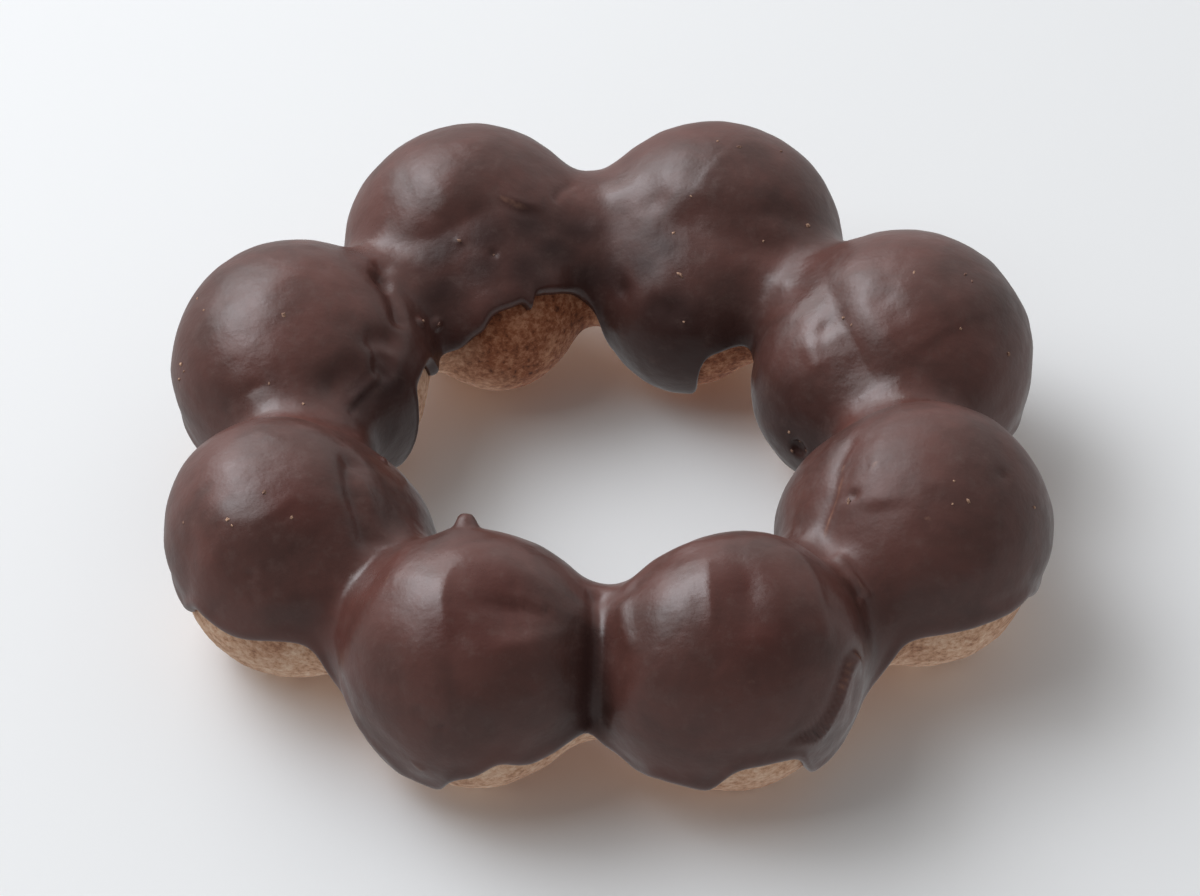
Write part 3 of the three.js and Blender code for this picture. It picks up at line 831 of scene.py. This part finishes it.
CRUMB_DARK, CRUMB_PALE = (0.12, 0.05, 0.035), (0.55, 0.33, 0.22)

crumb_crust, nodes, links, shader = new_material("crumb")
spots = object_noise(nodes, links, 700, 4, 0.7)
tone = ramp(nodes, links, spots, [(0.38, CRUMB_DARK), (0.6, CRUMB_PALE)])
links.new(tone, shader.inputs["Base Color"])
shader.inputs["Roughness"].default_value = 0.7
crumb_mesh.materials.append(crumb_crust)


# ---- The studio ----
# A pale floor, a large soft light from behind and to the left with a smaller, brighter one before
# it, a pale room round them, and a camera that looks down on the ring from the front.

FLOOR_SIZE = 4.0
FLOOR_PALE = (0.86, 0.86, 0.86, 1)

bm = bmesh.new()
bmesh.ops.create_grid(bm, x_segments=1, y_segments=1, size=FLOOR_SIZE / 2)
floor_mesh = finished_mesh(bm, "floor")
floor = put_in_scene("floor", floor_mesh)
paper, nodes, links, shader = new_material("pale paper")
shader.inputs["Base Color"].default_value = FLOOR_PALE
shader.inputs["Roughness"].default_value = 0.9
floor_mesh.materials.append(paper)

# The room below the horizon stands in for the table's light, so the floor sends none itself.
floor.visible_glossy = False
floor.visible_diffuse = False

KEY_FROM, KEY_ROLL = Vector((-0.575, 0.353, 0.738)), 26
ring_middle = Vector((0, 0, CORE_HEIGHT * MM))


def softbox(name, distance, size, power, colour):
    """An area light that looks at the ring from the key's side, rolled as the key is."""
    light = bpy.data.lights.new(name, "AREA")
    light.shape = "RECTANGLE"
    light.size, light.size_y = size
    light.energy = power
    light.color = colour
    lamp = put_in_scene(name, light)
    lamp.location = KEY_FROM.normalized() * distance + ring_middle
    faced = KEY_FROM.to_track_quat("Z", "Y").to_matrix()
    lamp.rotation_euler = (faced @ Matrix.Rotation(math.radians(KEY_ROLL), 3, "Z")).to_euler()


softbox("key", distance=0.7, size=(1.15, 0.62), power=4.2, colour=(0.96, 0.98, 1))
softbox("key core", distance=0.69, size=(0.5, 0.28), power=1.45, colour=(0.92, 0.97, 1.04))

# The room: its back wall is bright, its front, behind the camera, is dim, and the pale table sends
# an even light up from below.
ROOM_FRONT, ROOM_BACK, TABLE_LIGHT = 0.22, 0.6, 0.48
FRONT_ENDS, BACK_STARTS, HORIZON_BLEND = -0.6, 0.9, 0.1

world = bpy.data.worlds.new("pale room")
bpy.context.scene.world = world
world.use_nodes = True
nodes, links = world.node_tree.nodes, world.node_tree.links
room_place = nodes.new("ShaderNodeTexCoord")
room_parts = nodes.new("ShaderNodeSeparateXYZ")
room_light = nodes.new("ShaderNodeMapRange")
room_light.interpolation_type = "SMOOTHSTEP"
set_inputs(room_light, {"From Min": FRONT_ENDS, "From Max": BACK_STARTS})
set_inputs(room_light, {"To Min": ROOM_FRONT, "To Max": ROOM_BACK})
links.new(room_place.outputs["Generated"], room_parts.inputs["Vector"])
links.new(room_parts.outputs["Y"], room_light.inputs["Value"])
from_above = nodes.new("ShaderNodeMapRange")
set_inputs(from_above, {"From Min": -HORIZON_BLEND, "From Max": HORIZON_BLEND})
set_inputs(from_above, {"To Min": TABLE_LIGHT})
links.new(room_parts.outputs["Z"], from_above.inputs["Value"])
links.new(room_light.outputs["Result"], from_above.inputs["To Max"])
links.new(from_above.outputs["Result"], nodes["Background"].inputs["Strength"])
set_inputs(nodes["Background"], {"Color": (1, 1, 1, 1)})

# The camera: its angle in degrees, its distance, and where the ring lies in the frame, in pixels.
CAMERA_ELEVATION, CAMERA_DISTANCE = 42.5, 0.6
PIXELS_PER_MM, FRAME_WIDTH, RING_SHIFT_PIXELS = 10.9, 1200, (6, 4)

lens = bpy.data.cameras.new("camera")
lens.sensor_width = 36
lens.lens = lens.sensor_width * PIXELS_PER_MM * CAMERA_DISTANCE / MM / FRAME_WIDTH
lens.shift_x = -RING_SHIFT_PIXELS[0] / FRAME_WIDTH
lens.shift_y = RING_SHIFT_PIXELS[1] / FRAME_WIDTH
lens.clip_start = 0.01
camera = put_in_scene("camera", lens)
elevation = math.radians(CAMERA_ELEVATION)
aim = Vector(RING_CENTRE) * MM + ring_middle
back = Vector((0, -math.cos(elevation), math.sin(elevation)))
camera.location = aim + back * CAMERA_DISTANCE
camera.rotation_euler = back.to_track_quat("Z", "Y").to_euler()
bpy.context.scene.camera = camera
bpy.context.scene.view_settings.view_transform = "Standard"
